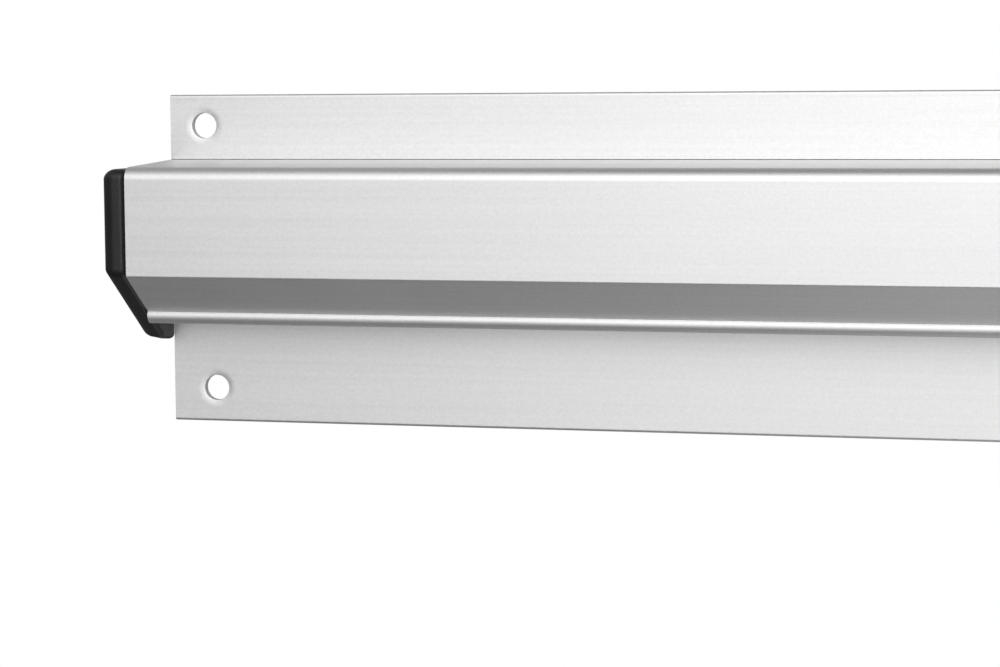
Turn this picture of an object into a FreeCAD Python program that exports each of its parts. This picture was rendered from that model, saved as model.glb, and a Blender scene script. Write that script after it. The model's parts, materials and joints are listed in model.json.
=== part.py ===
import FreeCAD, Part
import Sketcher
import os

# Order ticket rail for a kitchen or bar wall.
# One extruded aluminium rail, two push-in end caps and a row of loose glass marbles.
# X runs along the rail, Y points into the wall and Z points up, all in millimetres.
# The origin is the middle of the wall plate's back face.

SIZES = {
    # Wall plate
    "rail_length": 305.0,
    "plate_height": 60.7,
    "plate_thickness": 1.5,
    "plate_edge_round": 0.5,
    # Channel: roof, front wall, ramp and lip
    "wall_thickness": 1.5,
    "channel_depth": 22.6,
    "roof_drop": 11.88,
    "roof_fall": 0.95,
    "roof_front_round": 2.3,
    "root_round": 0.3,
    "front_wall_height": 19.39,
    "ramp_angle": 35.5,
    "ramp_length": 13.45,
    "ramp_front_round": 0.4,
    "lip_round": 1.45,
    # Screw holes
    "screw_hole": 4.7,
    "hole_rim_round": 0.15,
    "upper_hole_inset": 6.6,
    "upper_hole_drop": 5.7,
    "lower_hole_inset": 8.3,
    "lower_hole_rise": 6.3,
    # End caps
    "cap_thickness": 4.55,
    "cap_rim_round": 2.5,
    "cap_top_round": 1.8,
    "cap_nose_round": 2.6,
    "cap_seam_round": 0.9,
    "cap_roof_step": 0.1,
    "cap_front_step": 0.45,
    "cap_wall_gap": 0.1,
    "cap_foot_depth": 5.25,
    "cap_foot_fall": 0.9,
    "plug_length": 5.0,
    "plug_wall": 1.6,
    "plug_clearance": 0.25,
    "plug_bottom_drop": 6.1,
    "rib_clearance": 0.02,
    "rib_width": 1.0,
    "rib_spacing": 8.0,
    "rib_lead": 1.0,
    # Marbles
    "marble": 16.0,
    "marble_clearance": 0.2,
    "least_marble_gap": 0.3,
}

SAME = 0.001  # distances closer than this, in mm, are the same
LEAST_CUT = 1.0  # a cut takes away more than this, in cubic mm

doc = FreeCAD.newDocument("order_ticket_rail")
dims = doc.addObject("Spreadsheet::Sheet", "dims")
for row, (alias, number) in enumerate(SIZES.items(), start=1):
    dims.set(f"A{row}", alias)
    dims.set(f"B{row}", str(number))
    dims.setAlias(f"B{row}", alias)
doc.recompute()

# Places in the section, as expressions of the sheet's sizes
PLATE_FRONT = "(-dims.plate_thickness)"
FRONT = "(-dims.plate_thickness - dims.channel_depth)"
INNER_FRONT = f"({FRONT} + dims.wall_thickness)"
ROOF = "(dims.plate_height / 2 - dims.roof_drop)"
ROOF_FRONT = f"({ROOF} - dims.roof_fall)"
RAMP_TOP = f"({ROOF_FRONT} - dims.front_wall_height)"
RAMP_SIN = "sin(dims.ramp_angle)"
RAMP_COS = "cos(dims.ramp_angle)"
RAIL_END = "(dims.rail_length / 2)"
CAP_BACK = f"({PLATE_FRONT} - dims.cap_wall_gap)"
CAP_TOP = f"({ROOF_FRONT} - dims.cap_roof_step)"
CAP_FRONT = f"({FRONT} - dims.cap_front_step)"


def value(expression):
    """The number that an expression of the sheet's sizes gives"""
    return float(dims.evalExpression(expression))


def roof_underside(y):
    """Height of the roof's lower face at a distance y from the wall"""
    lean = "dims.roof_fall / dims.channel_depth"
    wall = f"dims.wall_thickness * sqrt(1 + ({lean})^2)"
    return f"({ROOF} - {lean} * ({PLATE_FRONT} - {y}) - {wall})"


def ramp_point(along, inward):
    """A point along the ramp from its top front edge, and inward from its outer face"""
    y = f"({FRONT} + ({along}) * {RAMP_COS} + ({inward}) * {RAMP_SIN})"
    z = f"({RAMP_TOP} - ({along}) * {RAMP_SIN} + ({inward}) * {RAMP_COS})"
    return y, z


def ramp_height(y, inward):
    """Height at y of a line parallel to the ramp, inward from its outer face"""
    return f"({RAMP_TOP} + (({inward}) - ({y} - {FRONT}) * {RAMP_SIN}) / {RAMP_COS})"


def origin_plane(body, role):
    """One of the body's own origin planes"""
    for feature in body.Origin.OriginFeatures:
        if feature.Role == role:
            return feature
    raise ValueError(f"no origin plane {role}")


def add_sketch(body, name, role, offset=None):
    """A sketch on one of the body's origin planes, moved along its normal by offset"""
    sketch = body.newObject("Sketcher::SketchObject", name)
    sketch.AttachmentSupport = [(origin_plane(body, role), "")]
    sketch.MapMode = "FlatFace"
    if offset:
        sketch.setExpression("AttachmentOffset.Base.z", offset)
    return sketch


def hold(sketch, geometry, point, place):
    """Fixes a point of the sketch by its two distances from the origin"""
    for kind, expression in zip(("DistanceX", "DistanceY"), place):
        held = Sketcher.Constraint(kind, -1, 1, geometry, point, value(expression))
        index = sketch.addConstraint(held)
        sketch.setExpression(f"Constraints[{index}]", expression)


def draw_outline(sketch, corners, arc_after=None, centre=None, radius=None):
    """A closed outline through the corners, straight except for one arc after a corner"""
    points = [FreeCAD.Vector(value(y), value(z), 0) for y, z in corners]
    first = sketch.GeometryCount
    for index, start in enumerate(points):
        end = points[(index + 1) % len(points)]
        if index == arc_after:
            middle = FreeCAD.Vector(value(centre[0]), value(centre[1]), 0)
            circle = Part.Circle(middle, FreeCAD.Vector(0, 0, 1), value(radius))
            span = circle.parameter(start), circle.parameter(end)
            sketch.addGeometry(Part.ArcOfCircle(circle, *span), False)
        else:
            sketch.addGeometry(Part.LineSegment(start, end), False)
    for index, place in enumerate(corners):
        before = first + (index - 1) % len(corners)
        sketch.addConstraint(Sketcher.Constraint("Coincident", before, 2, first + index, 1))
        hold(sketch, first + index, 1, place)
    if radius:
        arc = first + arc_after
        index = sketch.addConstraint(Sketcher.Constraint("Radius", arc, value(radius)))
        sketch.setExpression(f"Constraints[{index}]", radius)


def add_pad(body, name, sketch, length, both_ways=False, backwards=False):
    """Extrudes a sketch along its plane's normal"""
    pad = body.newObject("PartDesign::Pad", name)
    pad.Profile = sketch
    pad.setExpression("Length", length)
    pad.SideType = "Symmetric" if both_ways else "One side"
    pad.Reversed = backwards
    sketch.Visibility = False
    doc.recompute()
    return pad


def add_pocket(body, name, sketch, length, both_ways=False, backwards=False):
    """Cuts a sketch out of the body, along its plane's normal"""
    pocket = body.newObject("PartDesign::Pocket", name)
    pocket.Profile = sketch
    pocket.setExpression("Length", length)
    pocket.SideType = "Symmetric" if both_ways else "One side"
    pocket.Reversed = backwards
    doc.recompute()
    return pocket


def add_fillet(body, name, base, wanted, radius):
    """Rounds the edges of the base feature that the test wanted picks out"""
    names = [f"Edge{n}" for n, edge in enumerate(base.Shape.Edges, start=1) if wanted(edge)]
    fillet = body.newObject("PartDesign::Fillet", name)
    fillet.Base = (base, names)
    fillet.setExpression("Radius", radius)
    doc.recompute()
    return fillet


def near(first, second):
    """True for two distances that are the same but for rounding"""
    return abs(first - second) < SAME


def runs_along(y, z):
    """Picks the edges that run the rail's way through a point of the section"""
    y, z = value(y), value(z)

    def wanted(edge):
        return all(near(v.Y, y) and near(v.Z, z) for v in edge.Vertexes)

    return wanted


def any_of(*tests):
    """Picks the edges that one of several tests picks"""
    return lambda edge: any(test(edge) for test in tests)


def in_plane(x):
    """Picks the edges that lie in a plane across the rail"""
    return lambda edge: near(edge.BoundBox.XMin, x) and near(edge.BoundBox.XMax, x)


def on_wall_side(y):
    """Picks edges that lie in a plane parallel to the wall"""
    return lambda edge: all(near(vertex.Y, y) for vertex in edge.Vertexes)


def hook_corners():
    """The corners of the channel's section, from inside the plate round to the plate again"""
    lip_rise = "(dims.wall_thickness - dims.lip_round)"
    lip_start = f"(dims.ramp_length - sqrt(dims.lip_round^2 - {lip_rise}^2))"
    inside_plate = f"({PLATE_FRONT} / 2)"
    return {
        "buried_bottom": (inside_plate, roof_underside(PLATE_FRONT)),
        "buried_top": (inside_plate, ROOF),
        "roof_root": (PLATE_FRONT, ROOF),
        "roof_front": (FRONT, ROOF_FRONT),
        "ramp_front": (FRONT, RAMP_TOP),
        "lip_start": ramp_point(lip_start, "0"),
        "lip_end": ramp_point("dims.ramp_length", "dims.wall_thickness"),
        "ramp_front_inside": (INNER_FRONT, ramp_height(INNER_FRONT, "dims.wall_thickness")),
        "roof_front_inside": (INNER_FRONT, roof_underside(INNER_FRONT)),
        "roof_root_inside": (PLATE_FRONT, roof_underside(PLATE_FRONT)),
    }


def rail_profile():
    """The extruded rail: wall plate, roof, front wall, ramp and round lip in one piece"""
    body = doc.addObject("PartDesign::Body", "rail_profile")
    half = "dims.plate_height / 2"
    plate = add_sketch(body, "plate_section", "YZ_Plane")
    draw_outline(plate, [("0", f"-{half}"), ("0", half), (PLATE_FRONT, half), (PLATE_FRONT, f"-{half}")])
    add_pad(body, "plate", plate, "dims.rail_length", both_ways=True)

    hook = add_sketch(body, "hook_section", "YZ_Plane")
    corners = hook_corners()
    lip = ramp_point("dims.ramp_length", "dims.wall_thickness - dims.lip_round")
    arc_after = list(corners).index("lip_start")
    draw_outline(hook, list(corners.values()), arc_after, centre=lip, radius="dims.lip_round")
    last = add_pad(body, "hook", hook, "dims.rail_length", both_ways=True)

    inner_round = "dims.roof_front_round - dims.wall_thickness"
    rounds = {
        "roof_front": "dims.roof_front_round",
        "roof_front_inside": inner_round,
        "ramp_front": "dims.ramp_front_round",
        "ramp_front_inside": "dims.ramp_front_round",
        "roof_root": "dims.root_round",
        "roof_root_inside": "dims.root_round",
    }
    for corner, radius in rounds.items():
        last = add_fillet(body, f"{corner}_round", last, runs_along(*corners[corner]), radius)

    last = screw_holes(body)
    last = add_fillet(body, "hole_rims", last, is_hole_rim, "dims.hole_rim_round")
    plate_corners = [runs_along(y, z) for y in ("0", PLATE_FRONT) for z in (half, f"-{half}")]
    body.Tip = add_fillet(body, "plate_edges", last, any_of(*plate_corners), "dims.plate_edge_round")
    return body


def is_hole_rim(edge):
    """True for the edge round a screw hole on the plate's front"""
    is_circle = isinstance(edge.Curve, Part.Circle)
    return is_circle and near(edge.BoundBox.YMin, value(PLATE_FRONT))


def screw_holes(body):
    """One hole above and one below the channel near the left end, mirrored to the right end"""
    sketch = add_sketch(body, "hole_places", "XZ_Plane")
    upper = f"dims.upper_hole_inset - {RAIL_END}", "dims.plate_height / 2 - dims.upper_hole_drop"
    lower = f"dims.lower_hole_inset - {RAIL_END}", "dims.lower_hole_rise - dims.plate_height / 2"
    for index, (x, z) in enumerate((upper, lower)):
        middle = FreeCAD.Vector(value(x), value(z), 0)
        hole = Part.Circle(middle, FreeCAD.Vector(0, 0, 1), value("dims.screw_hole / 2"))
        sketch.addGeometry(hole, False)
        hold(sketch, index, 3, (x, z))
        size = sketch.addConstraint(Sketcher.Constraint("Diameter", index, value("dims.screw_hole")))
        sketch.setExpression(f"Constraints[{size}]", "dims.screw_hole")
    cut = add_pocket(body, "left_holes", sketch, "4 * dims.plate_thickness", both_ways=True)
    mirror = body.newObject("PartDesign::Mirrored", "both_ends_holes")
    mirror.Originals = [cut]
    mirror.MirrorPlane = (origin_plane(body, "YZ_Plane"), [""])
    body.Tip = mirror
    doc.recompute()
    return mirror


def plug_corners(inset):
    """The plug's outline inside the channel, kept inset away from the walls round it"""
    front = f"({INNER_FRONT} + {inset})"
    back = f"({PLATE_FRONT} - {inset})"
    bottom = f"({RAMP_TOP} - dims.plug_bottom_drop + {inset})"
    inward = f"dims.wall_thickness + {inset}"
    ramp_end = f"({FRONT} + ({inward} - ({bottom} - {RAMP_TOP}) * {RAMP_COS}) / {RAMP_SIN})"
    return [
        (back, bottom),
        (back, f"{roof_underside(back)} - {inset}"),
        (front, f"{roof_underside(front)} - {inset}"),
        (front, ramp_height(front, inward)),
        (ramp_end, bottom),
    ]


def crush_ribs(sketch):
    """Two ribs on the plug's front wall and two on its back wall, to grip the channel"""
    middle = f"({ROOF_FRONT} + {RAMP_TOP}) / 2"
    front = f"({INNER_FRONT} + dims.rib_clearance)"
    back = f"({PLATE_FRONT} - dims.rib_clearance)"
    depth = "(dims.plug_clearance + dims.plug_wall / 2)"
    for near_side, far_side in ((front, f"({front} + {depth})"), (f"({back} - {depth})", back)):
        for step in ("-", "+"):
            height = f"({middle} {step} dims.rib_spacing / 2)"
            low, high = f"{height} - dims.rib_width / 2", f"{height} + dims.rib_width / 2"
            draw_outline(sketch, [(near_side, low), (far_side, low), (far_side, high), (near_side, high)])


def end_cap(name, side):
    """A moulded cap: rounded end plate, hollow plug and crush ribs. side is -1 left, 1 right"""
    body = doc.addObject("PartDesign::Body", name)
    seam = f"{side} * {RAIL_END}"
    nose = CAP_FRONT, ramp_height(CAP_FRONT, "0")
    heel_place = f"({CAP_BACK} - dims.cap_foot_depth)"
    heel = heel_place, ramp_height(heel_place, "0")
    toe = CAP_BACK, f"{heel[1]} - dims.cap_foot_fall"
    outline = add_sketch(body, f"{name}_plate_outline", "YZ_Plane", seam)
    draw_outline(outline, [(CAP_BACK, CAP_TOP), (CAP_FRONT, CAP_TOP), nose, heel, toe])
    plate = add_pad(body, f"{name}_plate", outline, "dims.cap_thickness", backwards=side < 0)
    top = add_fillet(body, f"{name}_top", plate, runs_along(CAP_FRONT, CAP_TOP), "dims.cap_top_round")
    front = add_fillet(body, f"{name}_nose", top, runs_along(*nose), "dims.cap_nose_round")
    outer_face = in_plane(side * value(f"{RAIL_END} + dims.cap_thickness"))
    rim = add_fillet(body, f"{name}_rim", front, outer_face, "dims.cap_rim_round")
    seam_face, back_face = in_plane(value(seam)), on_wall_side(value(CAP_BACK))
    add_fillet(body, f"{name}_seam", rim, lambda edge: seam_face(edge) and not back_face(edge), "dims.cap_seam_round")

    plug = add_sketch(body, f"{name}_plug_outline", "YZ_Plane", seam)
    draw_outline(plug, plug_corners("dims.plug_clearance"))
    add_pad(body, f"{name}_plug", plug, "dims.plug_length", backwards=side > 0)
    hollow = add_sketch(body, f"{name}_hollow_outline", "YZ_Plane", seam)
    draw_outline(hollow, plug_corners("(dims.plug_clearance + dims.plug_wall)"))
    add_pocket(body, f"{name}_hollow", hollow, "dims.plug_length", backwards=side < 0)
    ribs = add_sketch(body, f"{name}_rib_outlines", "YZ_Plane", seam)
    crush_ribs(ribs)
    add_pad(body, f"{name}_ribs", ribs, "dims.plug_length - dims.rib_lead", backwards=side > 0)
    return body


def marble_count():
    """As many marbles as the channel takes between the two plugs"""
    room = value("dims.rail_length - 2 * dims.plug_length - dims.least_marble_gap")
    return int(room // value("dims.marble + dims.least_marble_gap"))


def marble(number, count):
    """A glass ball resting between the plate and the ramp, in a row with equal gaps"""
    ball = doc.addObject("Part::Sphere", f"marble_{number:02d}")
    ball.setExpression("Radius", "dims.marble / 2")
    row = "(dims.rail_length - 2 * dims.plug_length)"
    pitch = f"(({row} - {count} * dims.marble) / {count + 1} + dims.marble)"
    reach = "(dims.wall_thickness + dims.marble / 2 + dims.marble_clearance)"
    y = f"({PLATE_FRONT} - dims.marble_clearance - dims.marble / 2)"
    ball.setExpression("Placement.Base.x", f"({number} - {(count + 1) / 2}) * {pitch}")
    ball.setExpression("Placement.Base.y", y)
    ball.setExpression("Placement.Base.z", ramp_height(y, reach))
    return ball


def check(parts):
    """Stops if a feature failed, a cut removed nothing or a piece isn't a sound solid"""
    for feature in doc.Objects:
        if {"Invalid", "Error"} & set(feature.State):
            raise RuntimeError(f"{feature.Name} failed: {feature.State}")
        if feature.TypeId == "PartDesign::Pocket":
            if feature.Shape.Volume > feature.BaseFeature.Shape.Volume - LEAST_CUT:
                raise RuntimeError(f"{feature.Name} cuts nothing")
    for part in parts:
        if part.Shape.isNull() or not part.Shape.isValid() or len(part.Shape.Solids) != 1:
            raise RuntimeError(f"{part.Label} isn't one sound solid")


parts = [rail_profile(), end_cap("left_end_cap", -1), end_cap("right_end_cap", 1)]
marbles = marble_count()
parts += [marble(number, marbles) for number in range(1, marbles + 1)]
doc.recompute()
check(parts)

os.makedirs("parts", exist_ok=True)
for part in parts:
    part.Shape.exportStep(f"parts/{part.Label}.step")
    print(f"{part.Label}: {part.Shape.Volume:.0f} cubic mm")
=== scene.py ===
import json
import math

import bmesh
import bpy
from mathutils import Euler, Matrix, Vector


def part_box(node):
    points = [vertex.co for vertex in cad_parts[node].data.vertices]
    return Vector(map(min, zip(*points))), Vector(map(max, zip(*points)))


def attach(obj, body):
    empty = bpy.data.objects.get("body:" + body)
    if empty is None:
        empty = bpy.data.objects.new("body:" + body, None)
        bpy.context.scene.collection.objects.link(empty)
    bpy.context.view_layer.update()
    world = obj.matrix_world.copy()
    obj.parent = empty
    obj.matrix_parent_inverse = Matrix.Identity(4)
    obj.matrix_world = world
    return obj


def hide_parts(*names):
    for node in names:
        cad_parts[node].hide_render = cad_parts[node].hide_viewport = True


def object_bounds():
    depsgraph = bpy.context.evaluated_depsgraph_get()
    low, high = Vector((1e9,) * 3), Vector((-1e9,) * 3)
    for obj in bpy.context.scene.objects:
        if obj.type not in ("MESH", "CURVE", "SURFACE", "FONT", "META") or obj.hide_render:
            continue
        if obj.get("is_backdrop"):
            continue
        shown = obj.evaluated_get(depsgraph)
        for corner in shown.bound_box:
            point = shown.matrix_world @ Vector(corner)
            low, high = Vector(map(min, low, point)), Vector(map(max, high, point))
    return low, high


# The looks of an order ticket rail: a satin anodised extrusion, two black moulded caps and glass marbles.
# X runs along the rail, Y points into the wall and Z points up. Sizes are in millimetres, meshes in metres.

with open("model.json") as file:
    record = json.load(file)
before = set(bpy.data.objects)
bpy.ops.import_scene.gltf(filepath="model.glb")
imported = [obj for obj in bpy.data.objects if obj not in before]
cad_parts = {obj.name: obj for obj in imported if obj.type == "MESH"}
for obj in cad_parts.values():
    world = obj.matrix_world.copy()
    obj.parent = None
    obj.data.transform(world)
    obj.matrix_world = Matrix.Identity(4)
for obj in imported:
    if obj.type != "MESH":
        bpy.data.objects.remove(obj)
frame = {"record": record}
cad_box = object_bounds()
MM = 0.001

rail_low, rail_high = (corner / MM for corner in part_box("rail_profile"))
cap_low, cap_high = (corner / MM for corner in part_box("left_end_cap"))

# Rail section
HALF_LENGTH = rail_high.x
HALF_HEIGHT = rail_high.z
FRONT = rail_low.y
PLATE_FRONT = -1.5
PLATE_EDGE_ROUND = 0.5
WALL = 1.5
INNER_FRONT = FRONT + WALL
ROOF_DROP = 11.88
ROOF_FALL = 0.95
ROOF = HALF_HEIGHT - ROOF_DROP
ROOF_FRONT = ROOF - ROOF_FALL
ROOF_FRONT_ROUND = 2.3
CHANNEL_CORNER_ROUND = 0.3
FRONT_WALL_HEIGHT = 19.39
RAMP_TOP = ROOF_FRONT - FRONT_WALL_HEIGHT
RAMP_ANGLE = math.radians(35.5)
RAMP_LENGTH = 13.45
RAMP_FRONT_ROUND = 0.4
LIP_ROUND = 1.45
LIP_ROOT_ROUND = 0.12
LIP_CHORDS = 36
ROUND_STEPS = 12
SAW_DEBURR = 0.03
SAW_DEBURR_STEPS = 3

# Die lines on the plate's front, one near its top edge and one where the roof meets it; the root line's faces
# carry painted shade
EDGE_LINE_DROP = 1.2
EDGE_LINE_WIDTH = 0.3
EDGE_LINE_DEPTH = 0.015
ROOT_LINE_WIDTH = 0.11
ROOT_LINE_DEPTH = 0.17
ROOT_LINE_DROP = 0.08

# Screw holes: radius, places of the right pair, and the metal that the punch draws in round them
HOLE_RADIUS = 4.7 / 2
HOLE_SIDES = 64
HOLE_RIM_ROUND = 0.12
HOLE_RIM_STEPS = 4
HOLE_BACK_DEBURR = 0.06
HOLE_DRAW_WIDTH = 1.2
HOLE_DRAW_DEPTH = 0.085
HOLE_DRAW_STEPS = 8
UPPER_HOLE = (HALF_LENGTH - 6.6, HALF_HEIGHT - 5.7)
LOWER_HOLE = (HALF_LENGTH - 8.3, 6.3 - HALF_HEIGHT)

# End caps
CAP_THICKNESS = rail_low.x - cap_low.x
CAP_TOP = cap_high.z - 0.15
CAP_FRONT = cap_low.y
CAP_BACK = PLATE_FRONT - 0.02
CAP_HEEL = CAP_BACK - 5.25
CAP_FOOT_FALL = 0.9
CAP_BACK_ROUND = 0.6
CAP_TOP_ROUND = 1.8
CAP_NOSE_ROUND = 2.0
CAP_HEEL_ROUND = 2.0
CAP_TOE_ROUND = 0.7
CAP_LEAST_CORNER = 0.2
CAP_CORNER_STEPS = 8
CAP_RIM_ROUND = 2.5
CAP_RIM_STEPS = 14
CAP_SEAM_ROUND = 0.9
CAP_BACK_SEAM_ROUND = 0.02
CAP_SEAM_STEPS = 5
PLUG_LENGTH = cap_high.x - rail_low.x
PLUG_WALL = 1.6
PLUG_CLEARANCE = 0.25
PLUG_BOTTOM = RAMP_TOP - 6.1
PLUG_END_ROUND = 0.3
RIB_REACH = 0.23
RIB_WIDTH = 1.0
RIB_SPACING = 8.0
RIB_LEAD = 1.0

# Marbles
MARBLE = 16.0
MARBLE_UNEVENNESS = 0.03

# Places of the extrusion's four materials; the last is near-black metal painted into the root line as shade
SATIN, SAWN, PUNCHED, PAINTED_SHADE = range(4)


# Outlines in the YZ plane

def ramp_point(along, inward):
    """A point along the ramp from its top front edge, and inward from its outer face"""
    sin, cos = math.sin(RAMP_ANGLE), math.cos(RAMP_ANGLE)
    return FRONT + along * cos + inward * sin, RAMP_TOP - along * sin + inward * cos


def ramp_height(y, inward):
    """Height at y of a line parallel to the ramp, inward from its outer face"""
    return RAMP_TOP + (inward - (y - FRONT) * math.sin(RAMP_ANGLE)) / math.cos(RAMP_ANGLE)


def roof_underside(y):
    """Height of the roof's lower face at a distance y from the wall"""
    lean = ROOF_FALL / (PLATE_FRONT - FRONT)
    return ROOF - lean * (PLATE_FRONT - y) - WALL * math.hypot(1, lean)


def rounded(corners, steps):
    """The outline through (name, y, z, radius) corners, with each corner rounded. Gives its points,
    and for each the name of the corner where a straight run starts, or None inside a round"""
    points, runs = [], []
    for index, (name, y, z, radius) in enumerate(corners):
        here = Vector((y, z))
        before = Vector(corners[index - 1][1:3]) - here
        after = Vector(corners[(index + 1) % len(corners)][1:3]) - here
        before.normalize()
        after.normalize()
        half_angle = before.angle(after) / 2
        if radius == 0:
            points.append(here)
            runs.append(name)
            continue
        middle = here + (before + after).normalized() * (radius / math.sin(half_angle))
        reach = radius / math.tan(half_angle)
        start = here + before * reach - middle
        end = here + after * reach - middle
        turn = start.angle_signed(end)
        for step in range(steps + 1):
            angle = -turn * step / steps
            cos, sin = math.cos(angle), math.sin(angle)
            points.append(middle + Vector((start.x * cos - start.y * sin, start.x * sin + start.y * cos)))
            runs.append(name if step == steps else None)
    return points, runs


def lip_round():
    """The round lip as short chords, from the ramp's outer face round to its inner face"""
    middle = ramp_point(RAMP_LENGTH, WALL - LIP_ROUND)
    start = math.asin((WALL - LIP_ROUND) / LIP_ROUND) - math.pi
    end = math.pi / 2
    for step in range(LIP_CHORDS + 1):
        angle = start + (end - start) * step / LIP_CHORDS
        along, inward = LIP_ROUND * math.cos(angle), LIP_ROUND * math.sin(angle)
        y = middle[0] + along * math.cos(RAMP_ANGLE) + inward * math.sin(RAMP_ANGLE)
        z = middle[1] - along * math.sin(RAMP_ANGLE) + inward * math.cos(RAMP_ANGLE)
        yield ("lip", y, z, LIP_ROOT_ROUND if step == 0 else 0)


def rail_outline():
    """The extrusion's section, once round, starting at the bottom of the plate's back"""
    inner_round = ROOF_FRONT_ROUND - WALL
    line = HALF_HEIGHT - EDGE_LINE_DROP
    root = ROOF - ROOT_LINE_DROP
    return rounded([
        ("back", 0, -HALF_HEIGHT, PLATE_EDGE_ROUND),
        ("top", 0, HALF_HEIGHT, PLATE_EDGE_ROUND),
        ("top_front", PLATE_FRONT, HALF_HEIGHT, PLATE_EDGE_ROUND),
        ("edge_line_top", PLATE_FRONT, line + EDGE_LINE_WIDTH / 2, 0),
        ("edge_line", PLATE_FRONT + EDGE_LINE_DEPTH, line, 0),
        ("upper_flange", PLATE_FRONT, line - EDGE_LINE_WIDTH / 2, 0),
        ("root_line_top", PLATE_FRONT, root + ROOT_LINE_WIDTH, 0),
        ("root_line", PLATE_FRONT + ROOT_LINE_DEPTH, root + ROOT_LINE_WIDTH / 2, 0),
        ("roof", PLATE_FRONT, root, 0),
        ("front", FRONT, ROOF_FRONT, ROOF_FRONT_ROUND),
        ("ramp", FRONT, RAMP_TOP, RAMP_FRONT_ROUND),
        *lip_round(),
        ("front_inside", INNER_FRONT, ramp_height(INNER_FRONT, WALL), RAMP_FRONT_ROUND),
        ("roof_inside", INNER_FRONT, roof_underside(INNER_FRONT), inner_round),
        ("lower_flange", PLATE_FRONT, roof_underside(PLATE_FRONT), CHANNEL_CORNER_ROUND),
        ("bottom", PLATE_FRONT, -HALF_HEIGHT, PLATE_EDGE_ROUND),
    ], ROUND_STEPS)


def inset(points, distance):
    """A closed outline moved inward, or into the material, by a distance"""
    count = len(points)
    area = sum(points[i - 1].cross(points[i]) for i in range(count))
    moved = []
    for index, here in enumerate(points):
        before = (here - points[index - 1]).normalized()
        after = (points[(index + 1) % count] - here).normalized()
        side = 1 if area > 0 else -1
        normals = [Vector((-d.y, d.x)) * side for d in (before, after)]
        mitre = (normals[0] + normals[1]).normalized()
        moved.append(here + mitre * (distance / max(mitre.dot(normals[0]), 0.3)))
    return moved


# Mesh building

def add_object(name, data):
    """A new object in the scene"""
    made = bpy.data.objects.new(name, data)
    bpy.context.scene.collection.objects.link(made)
    return made


def add_ring(bm, x, outline):
    """A ring of vertices: an outline of the YZ plane at x, all in millimetres"""
    return [bm.verts.new(Vector((x, y, z)) * MM) for y, z in outline]


def bridge(bm, first, second, material=SATIN, keep=None):
    """Four-sided faces between two rings, for the runs that the test keep lets through"""
    count = len(first)
    for index in range(count):
        following = (index + 1) % count
        if keep is None or keep(index):
            corners = first[index], first[following], second[following], second[index]
            bm.faces.new(corners).material_index = material


def loop_edges(bm, ring):
    """The edges once round a ring of vertices"""
    edges = []
    for index, vertex in enumerate(ring):
        pair = ring[index - 1], vertex
        edges.append(bm.edges.get(pair) or bm.edges.new(pair))
    return edges


def fill(bm, rings, material=SATIN):
    """A flat face inside the first ring, with the other rings as holes in it"""
    edges = [edge for ring in rings for edge in loop_edges(bm, ring)]
    made = bmesh.ops.triangle_fill(bm, use_beauty=True, edges=edges)
    for face in made["geom"]:
        if isinstance(face, bmesh.types.BMFace):
            face.material_index = material


def make_object(name, bm, materials, sharp_angle):
    """Turns a mesh of rings into an object with outward faces, crisp edges and even shading on its flats"""
    bmesh.ops.recalc_face_normals(bm, faces=bm.faces)
    mesh = bpy.data.meshes.new(name)
    bm.to_mesh(mesh)
    bm.free()
    for material in materials:
        mesh.materials.append(material)
    mesh.shade_smooth()
    mesh.set_sharp_from_angle(angle=math.radians(sharp_angle))
    made = add_object(name, mesh)
    shading = made.modifiers.new("even_flats", "WEIGHTED_NORMAL")
    shading.keep_sharp = True
    shading.weight = 100
    return freeze(made)


def freeze(made):
    """Replaces an object's mesh and modifiers with the plain mesh that they give"""
    bpy.context.view_layer.update()
    evaluated = made.evaluated_get(bpy.context.evaluated_depsgraph_get())
    mesh = bpy.data.meshes.new_from_object(evaluated)
    mesh.name = made.name
    made.modifiers.clear()
    made.data = mesh
    return made


# Rail

def hole_outlines(x, z):
    """Rings through one screw hole, from the drawn-in metal round it on the front to the plate's back"""
    profile = []
    for step in range(HOLE_DRAW_STEPS + 1):
        share = step / HOLE_DRAW_STEPS
        profile.append((HOLE_RIM_ROUND + HOLE_DRAW_WIDTH * (1 - share), HOLE_DRAW_DEPTH * share ** 2))
    for step in range(1, HOLE_RIM_STEPS + 1):
        angle = math.pi / 2 * step / HOLE_RIM_STEPS
        away = HOLE_RIM_ROUND * (1 - math.sin(angle))
        profile.append((away, HOLE_DRAW_DEPTH + HOLE_RIM_ROUND * (1 - math.cos(angle))))
    profile.append((0, -PLATE_FRONT - HOLE_BACK_DEBURR))
    profile.append((HOLE_BACK_DEBURR, -PLATE_FRONT))
    turns = [2 * math.pi * side / HOLE_SIDES for side in range(HOLE_SIDES)]
    for away, depth in profile:
        radius, y = HOLE_RADIUS + away, PLATE_FRONT + depth
        yield [Vector((x + radius * math.cos(turn), y, z + radius * math.sin(turn))) for turn in turns]


def punch_hole(bm, x, z):
    """Builds the wall and drawn-in rim of a screw hole, and gives its front and back rings"""
    rings = [[bm.verts.new(point * MM) for point in ring] for ring in hole_outlines(x, z)]
    for index, (first, second) in enumerate(zip(rings, rings[1:])):
        bridge(bm, first, second, PUNCHED if index > HOLE_DRAW_STEPS else SATIN)
    return rings[0], rings[-1]


def sawn_end(bm, outline, end):
    """One sawn and lightly deburred end of the extrusion. Gives the ring where its sides start"""
    rings = []
    for step in range(SAW_DEBURR_STEPS + 1):
        angle = math.pi / 2 * step / SAW_DEBURR_STEPS
        x = end * (HALF_LENGTH - SAW_DEBURR * (1 - math.cos(angle)))
        rings.append(add_ring(bm, x, inset(outline, SAW_DEBURR * (1 - math.sin(angle)))))
    fill(bm, rings[:1], SAWN)
    for first, second in zip(rings, rings[1:]):
        bridge(bm, first, second, SAWN)
    return rings[-1]


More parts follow.
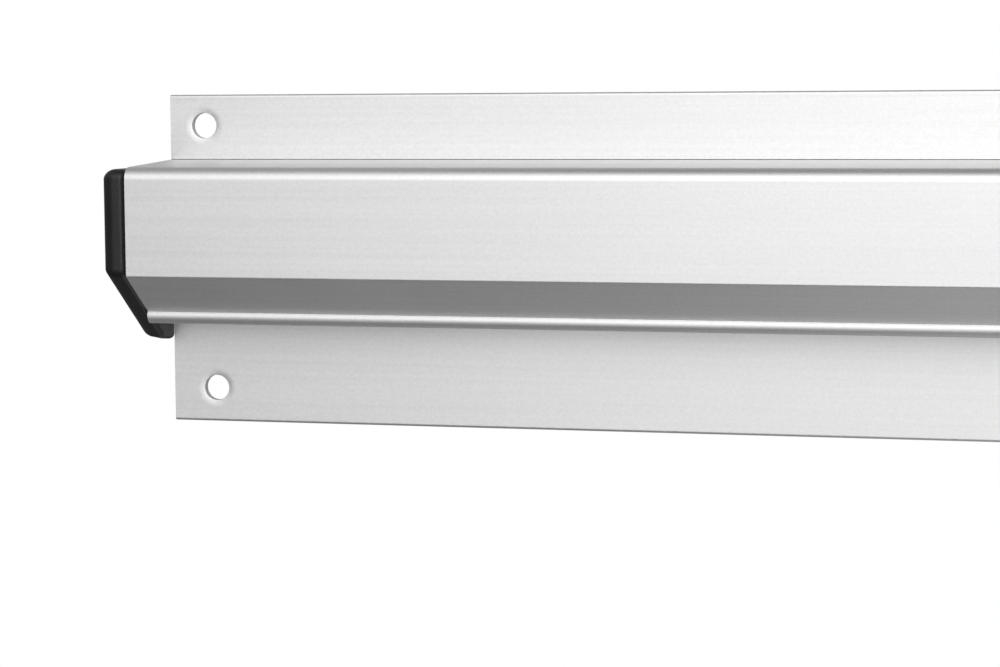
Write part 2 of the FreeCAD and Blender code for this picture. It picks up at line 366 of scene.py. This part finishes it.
def rail_extrusion(materials):
    """The extrusion, swept from one sawn end to the other, with its punched screw holes"""
    bm = bmesh.new()
    outline, runs = rail_outline()
    left, right = (sawn_end(bm, outline, end) for end in (-1, 1))
    holed = ("back", "upper_flange", "lower_flange")
    line = ("root_line_top", "root_line")
    bridge(bm, left, right, keep=lambda index: runs[index] not in holed + line)
    # The root line's faces get near-black metal: painted shade in the crease where the roof meets the plate
    bridge(bm, left, right, PAINTED_SHADE, keep=lambda index: runs[index] in line)

    holes = {}
    for flange, (x, z) in (("upper_flange", UPPER_HOLE), ("lower_flange", LOWER_HOLE)):
        holes[flange] = [punch_hole(bm, side * x, z) for side in (-1, 1)]
    for run in holed:
        start = runs.index(run)
        end = (start + 1) % len(outline)
        border = [left[start], left[end], right[end], right[start]]
        if run == "back":
            inner = [back for pair in holes.values() for _, back in pair]
        else:
            inner = [front for front, _ in holes[run]]
        fill(bm, [border, *inner])
    return make_object("rail_extrusion", bm, materials, sharp_angle=35)


# End caps

CAP_CORNERS = {
    "top_back": (CAP_BACK, CAP_TOP, CAP_BACK_ROUND),
    "top_front": (CAP_FRONT, CAP_TOP, CAP_TOP_ROUND),
    "nose": (CAP_FRONT, ramp_height(CAP_FRONT, 0), CAP_NOSE_ROUND),
    "heel": (CAP_HEEL, ramp_height(CAP_HEEL, 0), CAP_HEEL_ROUND),
    "toe": (CAP_BACK, ramp_height(CAP_HEEL, 0) - CAP_FOOT_FALL, CAP_TOE_ROUND),
}


def inset_corners(places, distances):
    """The corners of a convex outline once each side has moved inward by its own distance"""
    points = [Vector(place) for place in places]
    sides = []
    for index, here in enumerate(points):
        along = (points[(index + 1) % len(points)] - here).normalized()
        sides.append((here, along))
    area = sum(points[i - 1].cross(points[i]) for i in range(len(points)))
    turn = 1 if area > 0 else -1
    moved = []
    for index in range(len(points)):
        (a, along_a), (b, along_b) = sides[index - 1], sides[index]
        a = a + Vector((-along_a.y, along_a.x)) * turn * distances[index - 1]
        b = b + Vector((-along_b.y, along_b.x)) * turn * distances[index]
        share = (b - a).cross(along_b) / along_a.cross(along_b)
        moved.append(a + along_a * share)
    return moved


def cap_outline(distance, back):
    """The cap's outline, moved inward by a distance, and by another one on its back, which faces the wall.
    Its corners are soft at the edge and turn into crisp mitres further in"""
    corners = []
    places = [place[:2] for place in CAP_CORNERS.values()]
    moved = inset_corners(places, [distance] * (len(places) - 1) + [back])
    for (name, (_, _, radius)), (y, z) in zip(CAP_CORNERS.items(), moved):
        corners.append((name, y, z, max(radius - distance, CAP_LEAST_CORNER)))
    return rounded(corners, CAP_CORNER_STEPS)[0]


def rib_corners(wall, height, reach, upward):
    """The four corners of a crush rib on one wall of the plug, which tapers to its top"""
    foot, crest = RIB_WIDTH / 2, RIB_WIDTH / 4
    return [
        ("rib", wall, height - upward * foot),
        ("rib", wall + reach, height - upward * crest),
        ("rib", wall + reach, height + upward * crest),
        ("rib", wall, height + upward * foot),
    ]


def plug_outline(clearance, rib_reach):
    """The plug's outline, clear of the channel's walls, with two ribs on its front and two on its back"""
    front, back = INNER_FRONT + clearance, PLATE_FRONT - clearance
    bottom = PLUG_BOTTOM + clearance
    inward = WALL + clearance
    sin, cos = math.sin(RAMP_ANGLE), math.cos(RAMP_ANGLE)
    ramp_end = FRONT + (inward - (bottom - RAMP_TOP) * cos) / sin
    middle = (ROOF_FRONT + RAMP_TOP) / 2
    outline = [("bottom", back, bottom)]
    for step in (-1, 1):
        outline += rib_corners(back, middle + step * RIB_SPACING / 2, rib_reach, 1)
    outline.append(("back", back, roof_underside(back) - clearance))
    outline.append(("front", front, roof_underside(front) - clearance))
    for step in (1, -1):
        outline += rib_corners(front, middle + step * RIB_SPACING / 2, -rib_reach, -1)
    outline.append(("ramp", front, ramp_height(front, inward)))
    outline.append(("ramp_end", ramp_end, bottom))
    return [Vector((y, z)) for _, y, z in outline]


def end_cap(name, side, plastic):
    """A moulded cap: a rounded end plate and a hollow ribbed plug. side is -1 at the left, 1 at the right"""
    bm = bmesh.new()
    seam = side * HALF_LENGTH
    plate = []
    for step in range(CAP_SEAM_STEPS + 1):
        angle = math.pi / 2 * step / CAP_SEAM_STEPS
        out, inward = 1 - math.cos(angle), 1 - math.sin(angle)
        plate.append((CAP_SEAM_ROUND * out, CAP_SEAM_ROUND * inward, CAP_BACK_SEAM_ROUND * inward))
    rim_start = CAP_THICKNESS - CAP_RIM_ROUND
    for step in range(CAP_RIM_STEPS + 1):
        angle = math.pi / 2 * step / CAP_RIM_STEPS
        inward = CAP_RIM_ROUND * (1 - math.cos(angle))
        plate.append((rim_start + CAP_RIM_ROUND * math.sin(angle), inward, inward))
    rings = [add_ring(bm, seam + side * out, cap_outline(inward, back)) for out, inward, back in plate]
    for first, second in zip(rings, rings[1:]):
        bridge(bm, first, second)
    fill(bm, rings[-1:])

    inner = PLUG_CLEARANCE + PLUG_WALL
    plug_rings = [
        (0, PLUG_CLEARANCE, RIB_REACH),
        (PLUG_LENGTH - RIB_LEAD, PLUG_CLEARANCE, RIB_REACH),
        (PLUG_LENGTH - RIB_LEAD / 3, PLUG_CLEARANCE, 0),
        (PLUG_LENGTH, PLUG_CLEARANCE + PLUG_END_ROUND, 0),
        (PLUG_LENGTH, inner, 0),
        (0, inner, 0),
    ]
    plug = [add_ring(bm, seam - side * depth, plug_outline(gap, reach)) for depth, gap, reach in plug_rings]
    for first, second in zip(plug, plug[1:]):
        bridge(bm, first, second)
    fill(bm, [rings[0], plug[0]])
    fill(bm, plug[-1:])
    return make_object(name, bm, (plastic,), sharp_angle=30)


# Nodes

def node(tree, kind, sockets=None, **settings):
    """Adds a node. sockets gives a value, or another node's output to link, for inputs by name or number"""
    made = tree.nodes.new(kind)
    for setting, value in settings.items():
        setattr(made, setting, value)
    for socket, value in (sockets or {}).items():
        if isinstance(value, bpy.types.NodeSocket):
            tree.links.new(value, made.inputs[socket])
        else:
            made.inputs[socket].default_value = value
    return made


def maths(tree, operation, *terms):
    """The result of one operation on values"""
    return node(tree, "ShaderNodeMath", dict(enumerate(terms)), operation=operation).outputs[0]


def share_between(tree, value, low, high):
    """A share that goes from 0 to 1 as a value goes from low to high"""
    return node(tree, "ShaderNodeMapRange", {"Value": value, "From Min": low, "From Max": high}).outputs[0]


# Marbles

def marble_tree():
    """Geometry nodes for one marble: a ball pressed in a mould, with a trace of unevenness"""
    tree = bpy.data.node_groups.new("marble_shape", "GeometryNodeTree")
    for name, kind in (("Place", "Vector"), ("Diameter", "Float"), ("Unevenness", "Float"), ("Seed", "Int"),
                       ("Material", "Material")):
        tree.interface.new_socket(name, in_out="INPUT", socket_type=f"NodeSocket{kind}")
    tree.interface.new_socket("Geometry", in_out="OUTPUT", socket_type="NodeSocketGeometry")
    given = node(tree, "NodeGroupInput").outputs
    radius = maths(tree, "DIVIDE", given["Diameter"], 2.0)
    inner = maths(tree, "SUBTRACT", radius, given["Unevenness"])
    ball = node(tree, "GeometryNodeMeshIcoSphere", {"Radius": inner, "Subdivisions": 6})
    position = node(tree, "GeometryNodeInputPosition").outputs[0]
    wave_settings = {"Vector": position, "W": given["Seed"], "Scale": 180.0, "Detail": 1.0}
    waves = node(tree, "ShaderNodeTexNoise", wave_settings, noise_dimensions="4D")
    swell = maths(tree, "MULTIPLY", waves.outputs[0], given["Unevenness"])
    outward = node(tree, "GeometryNodeInputNormal").outputs[0]
    offset = node(tree, "ShaderNodeVectorMath", {0: outward, "Scale": swell}, operation="SCALE").outputs[0]
    uneven = node(tree, "GeometryNodeSetPosition", {"Geometry": ball.outputs["Mesh"], "Offset": offset})
    placed = node(tree, "GeometryNodeTransform", {"Geometry": uneven.outputs[0],
                                                  "Translation": given["Place"]})
    smooth = node(tree, "GeometryNodeSetShadeSmooth", {"Geometry": placed.outputs[0]})
    real = node(tree, "GeometryNodeRealizeInstances", {"Geometry": smooth.outputs[0]})
    glass = node(tree, "GeometryNodeSetMaterial", {"Geometry": real.outputs[0],
                                                   "Material": given["Material"]})
    node(tree, "NodeGroupOutput", {"Geometry": glass.outputs[0]})
    return tree


def set_input(modifier, name, value):
    """Sets a geometry nodes modifier's input by its name in the tree"""
    for item in modifier.node_group.interface.items_tree:
        if item.name == name and item.in_out == "INPUT":
            modifier[item.identifier] = value


def glass_marble(number, tree, cad_name, glass):
    """One marble where the frame has it"""
    name = f"glass_marble_{number:02d}"
    made = add_object(name, bpy.data.meshes.new(name))
    low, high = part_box(cad_name)
    shape = made.modifiers.new("marble_shape", "NODES")
    shape.node_group = tree
    set_input(shape, "Place", (low + high) / 2)
    set_input(shape, "Diameter", MARBLE * MM)
    set_input(shape, "Unevenness", MARBLE_UNEVENNESS * MM)
    set_input(shape, "Seed", number)
    set_input(shape, "Material", glass)
    return freeze(made)


# Effects that several materials share

def shader_group(name, inputs, outputs):
    """An empty shader node group with these sockets, as (name, kind, value)"""
    group = bpy.data.node_groups.new(name, "ShaderNodeTree")
    for label, kind, value in inputs:
        socket = group.interface.new_socket(label, in_out="INPUT", socket_type=f"NodeSocket{kind}")
        if value is not None:
            socket.default_value = value
    for label, kind in outputs:
        group.interface.new_socket(label, in_out="OUTPUT", socket_type=f"NodeSocket{kind}")
    return group, node(group, "NodeGroupInput").outputs


def fine_grain():
    """Even grain at one size: a height and its bright specks"""
    group, given = shader_group(
        "fine_grain",
        [("Coordinates", "Vector", None), ("Grain Size", "Float", 0.3)],
        [("Height", "Float"), ("Specks", "Float")],
    )
    scale = maths(group, "DIVIDE", 1 / MM, given["Grain Size"])
    noise = node(group, "ShaderNodeTexNoise", {"Vector": given["Coordinates"], "Scale": scale,
                                               "Detail": 2.0, "Roughness": 0.6}).outputs[0]
    node(group, "NodeGroupOutput", {"Height": noise, "Specks": share_between(group, noise, 0.58, 0.75)})
    return group


def drawn_lines():
    """Long fine lines along X, as a die leaves them on an extrusion"""
    group, given = shader_group(
        "drawn_lines",
        [("Coordinates", "Vector", None), ("Line Width", "Float", 0.25), ("Line Length", "Float", 60.0)],
        [("Lines", "Float")],
    )
    across = maths(group, "DIVIDE", 1 / MM, given["Line Width"])
    along = maths(group, "DIVIDE", 1 / MM, given["Line Length"])
    scale = node(group, "ShaderNodeCombineXYZ", {0: along, 1: across, 2: across})
    stretched = node(group, "ShaderNodeVectorMath", {0: given["Coordinates"], 1: scale.outputs[0]},
                     operation="MULTIPLY")
    noise = node(group, "ShaderNodeTexNoise", {"Vector": stretched.outputs[0], "Scale": 1.0, "Detail": 4.0,
                                               "Roughness": 0.65})
    node(group, "NodeGroupOutput", {"Lines": noise.outputs[0]})
    return group


def handling():
    """Broad soft patches where hands and cloths have passed"""
    group, given = shader_group(
        "handling",
        [("Coordinates", "Vector", None), ("Patch Size", "Float", 30.0)],
        [("Patches", "Float")],
    )
    scale = maths(group, "DIVIDE", 1 / MM, given["Patch Size"])
    noise = node(group, "ShaderNodeTexNoise", {"Vector": given["Coordinates"], "Scale": scale,
                                               "Detail": 3.0, "Distortion": 0.4}).outputs[0]
    node(group, "NodeGroupOutput", {"Patches": share_between(group, noise, 0.35, 0.65)})
    return group


GROUPS = {"fine_grain": fine_grain(), "drawn_lines": drawn_lines(), "handling": handling()}


def new_material(name):
    """A material with its shader and the object's own coordinates"""
    material = bpy.data.materials.new(name)
    material.use_nodes = True
    tree = material.node_tree
    shader = tree.nodes["Principled BSDF"]
    here = node(tree, "ShaderNodeTexCoord").outputs["Object"]
    return material, tree, shader, here


def shared(tree, name, sockets):
    """Places a shared effect in a material"""
    return node(tree, "ShaderNodeGroup", sockets, node_tree=GROUPS[name]).outputs


def weighted(tree, *terms):
    """The sum of outputs times their weights, with a constant last"""
    total = terms[-1]
    for output, weight in terms[:-1]:
        total = maths(tree, "MULTIPLY_ADD", output, weight, total)
    return total


def colour_between(tree, share, first, second):
    """A colour that goes from the first to the second as share goes from 0 to 1"""
    mix = node(tree, "ShaderNodeMix", {"Factor": share}, data_type="RGBA")
    mix.inputs["A"].default_value = (*first, 1)
    mix.inputs["B"].default_value = (*second, 1)
    return mix.outputs["Result"]


def satin_anodised():
    """Clear anodised aluminium with a fine etched grain and faint die lines"""
    material, tree, shader, here = new_material("satin_anodised_aluminium")
    grain = shared(tree, "fine_grain", {"Coordinates": here, "Grain Size": 0.55})
    etch = shared(tree, "fine_grain", {"Coordinates": here, "Grain Size": 0.15})
    line_size = {"Line Width": 0.85, "Line Length": 110.0}
    lines = shared(tree, "drawn_lines", {"Coordinates": here, **line_size})["Lines"]
    patches = shared(tree, "handling", {"Coordinates": here, "Patch Size": 45.0})["Patches"]
    tone = weighted(tree, (grain["Height"], 0.9), (etch["Height"], 0.2), (lines, 0.75), (patches, 0.12),
                    -0.46)
    tree.links.new(colour_between(tree, tone, (0.715, 0.715, 0.715), (0.885, 0.884, 0.885)),
                   shader.inputs["Base Color"])
    shader.inputs["Metallic"].default_value = 1.0
    roughness = weighted(tree, (lines, 0.06), (patches, 0.03), (grain["Height"], 0.06), 0.40)
    tree.links.new(roughness, shader.inputs["Roughness"])
    height = weighted(tree, (grain["Height"], 1.0), (etch["Height"], 0.15), (lines, 0.3), 0.0)
    bump = node(tree, "ShaderNodeBump", {"Height": height, "Strength": 1.0, "Distance": 0.008 * MM})
    tree.links.new(bump.outputs[0], shader.inputs["Normal"])
    return material


def bare_aluminium(name, dark, light, roughness):
    """Bare metal with no anodised shine, where the extrusion was sawn or punched; made near-black, it is also
    painted shade deep in the root line
    """
    material, tree, shader, here = new_material(name)
    grain = shared(tree, "fine_grain", {"Coordinates": here, "Grain Size": 0.12})
    saw = node(tree, "ShaderNodeTexWave", {"Vector": here, "Scale": 900.0, "Distortion": 2.0, "Detail": 2.0},
               bands_direction="Z")
    tone = weighted(tree, (grain["Height"], 0.6), (saw.outputs["Fac"], 0.3), 0.0)
    tree.links.new(colour_between(tree, tone, dark, light), shader.inputs["Base Color"])
    shader.inputs["Metallic"].default_value = 1.0
    tree.links.new(weighted(tree, (saw.outputs["Fac"], 0.15), roughness), shader.inputs["Roughness"])
    height = weighted(tree, (saw.outputs["Fac"], 1.0), (grain["Height"], 0.6), 0.0)
    bump = node(tree, "ShaderNodeBump", {"Height": height, "Strength": 1.0, "Distance": 0.01 * MM})
    tree.links.new(bump.outputs[0], shader.inputs["Normal"])
    return material


def black_plastic():
    """Black moulded plastic with the fine texture of a spark-eroded mould"""
    material, tree, shader, here = new_material("black_moulded_plastic")
    texture = shared(tree, "fine_grain", {"Coordinates": here, "Grain Size": 0.22})
    patches = shared(tree, "handling", {"Coordinates": here, "Patch Size": 9.0})["Patches"]
    tone = weighted(tree, (texture["Specks"], 0.35), (patches, 0.35), 0.1)
    tree.links.new(colour_between(tree, tone, (0.0028, 0.0032, 0.0034), (0.0082, 0.0086, 0.0086)),
                   shader.inputs["Base Color"])
    roughness = weighted(tree, (texture["Height"], 0.1), (patches, 0.06), 0.30)
    tree.links.new(roughness, shader.inputs["Roughness"])
    bump = node(tree, "ShaderNodeBump", {"Height": texture["Height"], "Strength": 1.0, "Distance": 0.04 * MM})
    tree.links.new(bump.outputs[0], shader.inputs["Normal"])
    return material


def marble_glass():
    """Clear glass with the faint green of plain soda glass"""
    material, tree, shader, here = new_material("clear_marble_glass")
    swirl = shared(tree, "handling", {"Coordinates": here, "Patch Size": 6.0})["Patches"]
    tree.links.new(colour_between(tree, swirl, (0.90, 0.97, 0.94), (0.95, 0.99, 0.97)),
                   shader.inputs["Base Color"])
    tree.links.new(weighted(tree, (swirl, 0.015), 0.01), shader.inputs["Roughness"])
    shader.inputs["Transmission Weight"].default_value = 1.0
    shader.inputs["IOR"].default_value = 1.52
    return material


# Studio

def white_to_the_eye(tree, surface):
    """A surface or world that looks plain white to the camera and gives its own light to everything else"""
    path = node(tree, "ShaderNodeLightPath")
    white = node(tree, "ShaderNodeEmission", {"Color": (1, 1, 1, 1), "Strength": 1.0})
    seen = path.outputs["Is Camera Ray"]
    return node(tree, "ShaderNodeMixShader", {0: seen, 1: surface, 2: white.outputs[0]}).outputs[0]


def glow(tree, towards, brightness, elevation, turn, width, height):
    """A soft oval glow in the sky. elevation, turn from straight in front, and half sizes are in degrees"""
    lift, side = math.radians(elevation), math.radians(turn)
    middle = (math.cos(lift) * math.sin(side), -math.cos(lift) * math.cos(side), math.sin(lift))
    across = Vector((math.cos(side), math.sin(side), 0)) / math.sin(math.radians(width))
    upward = Vector((-math.sin(lift) * math.sin(side), math.sin(lift) * math.cos(side), math.cos(lift)))
    upward /= math.sin(math.radians(height))
    parts = []
    for direction in (middle, across, upward):
        dot = node(tree, "ShaderNodeVectorMath", {0: towards, 1: direction}, operation="DOT_PRODUCT")
        parts.append(dot.outputs["Value"])
    facing, sideways, vertical = parts
    place = node(tree, "ShaderNodeCombineXYZ", {0: sideways, 1: vertical})
    away = node(tree, "ShaderNodeVectorMath", {0: place.outputs[0]}, operation="LENGTH").outputs["Value"]
    fade = node(tree, "ShaderNodeMapRange", {"Value": away, "From Min": 1.0, "From Max": 0.0,
                                             "To Max": brightness}, interpolation_type="SMOOTHSTEP")
    same_side = maths(tree, "GREATER_THAN", facing, 0.0)
    return maths(tree, "MULTIPLY", fade.outputs[0], same_side)


# The sky's brightness by elevation, and its glows: brightness, elevation, turn, half width, half height
SKY = {-90: 0.05, -40: 0.16, -10: 0.11, 20: 0.42, 50: 0.42, 75: 0.22, 90: 0.08}
GLOWS = {
    "straight_in_front": (1.28, -7.6, 2.8, 31.9, 39.8),
    "high_in_front": (2.17, 28.6, 3.6, 54.6, 52.2),
    "behind": (0.40, 14.8, 180.0, 70.0, 30.0),
    "below": (0.78, -69.5, 106.3, 68.6, 43.1),
}


def studio_world():
    """Soft light all round, brighter in broad glows in front, high in front, behind and below"""
    world = bpy.data.worlds.new("soft_studio")
    bpy.context.scene.world = world
    world.use_nodes = True
    tree = world.node_tree
    tree.nodes.clear()
    towards = node(tree, "ShaderNodeTexCoord").outputs["Generated"]
    up = node(tree, "ShaderNodeSeparateXYZ", {0: towards}).outputs["Z"]
    share = share_between(tree, maths(tree, "ARCSINE", up), -math.pi / 2, math.pi / 2)
    ramp = node(tree, "ShaderNodeValToRGB", {"Fac": share})
    while len(ramp.color_ramp.elements) < len(SKY):
        ramp.color_ramp.elements.new(0.5)
    for element, (angle, brightness) in zip(ramp.color_ramp.elements, SKY.items()):
        element.position = (angle + 90) / 180
        element.color = (brightness, brightness, brightness, 1)
    light = ramp.outputs["Color"]
    for shape in GLOWS.values():
        light = maths(tree, "ADD", light, glow(tree, towards, *shape))
    everywhere = node(tree, "ShaderNodeBackground", {"Color": (1, 1, 1, 1), "Strength": light})
    node(tree, "ShaderNodeOutputWorld", {"Surface": white_to_the_eye(tree, everywhere.outputs[0])})


def studio_floor():
    """A plain pale floor, well below the rail, that takes no part in its light"""
    size, drop = 6.0, 1.6
    mesh = bpy.data.meshes.new("floor")
    corners = [(-size, -size, -drop), (size, -size, -drop), (size, size, -drop), (-size, size, -drop)]
    mesh.from_pydata(corners, [], [(0, 1, 2, 3)])
    floor = add_object("floor", mesh)
    material, tree, shader, here = new_material("pale_floor")
    shader.inputs["Base Color"].default_value = (0.25, 0.25, 0.25, 1)
    shader.inputs["Roughness"].default_value = 0.8
    output = tree.nodes["Material Output"]
    tree.links.new(white_to_the_eye(tree, shader.outputs[0]), output.inputs["Surface"])
    mesh.materials.append(material)
    floor.visible_diffuse = False
    floor.visible_glossy = False
    floor.visible_transmission = False
    floor.visible_shadow = False
    floor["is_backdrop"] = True


def studio_camera():
    """The camera, a little above the rail's middle and to its right, turned towards the left end"""
    camera = bpy.data.cameras.new("camera")
    camera.lens = 90
    camera.sensor_width = 36
    made = add_object("camera", camera)
    made.location = (0.0216, -0.4377, 0.02957)
    made.rotation_euler = Euler([math.radians(angle) for angle in (84.600, 0.338, 14.275)])
    bpy.context.scene.camera = made


# The pieces, each on its body

metals = (
    satin_anodised(),
    bare_aluminium("sawn_aluminium", (0.62, 0.62, 0.61), (0.80, 0.80, 0.79), roughness=0.3),
    bare_aluminium("punched_aluminium", (0.74, 0.74, 0.73), (0.90, 0.90, 0.89), roughness=0.7),
    # Near-black metal for the root line is painted shade for the crease where the roof meets the plate
    bare_aluminium("root_line_painted_shade", (0.03, 0.03, 0.03), (0.09, 0.09, 0.09), roughness=0.6),
)
plastic, glass = black_plastic(), marble_glass()

rail = rail_extrusion(metals)
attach(rail, "rail")
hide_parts("rail_profile")

for side, word in ((-1, "left"), (1, "right")):
    cap = end_cap(f"{word}_moulded_cap", side, plastic)
    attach(cap, "rail")
    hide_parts(f"{word}_end_cap")

tree = marble_tree()
for body, members in frame["record"]["behaviour"]["bodies"].items():
    if body.startswith("ball"):
        number = int(body.split("_")[1])
        marble = glass_marble(number, tree, members[0], glass)
        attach(marble, body)
        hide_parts(members[0])

studio_world()
studio_floor()
studio_camera()
bpy.context.scene.view_settings.view_transform = "Standard"

boxes = {"cad": cad_box, "visual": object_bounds()}
{name: [list(corner) for corner in box] for name, box in boxes.items()}
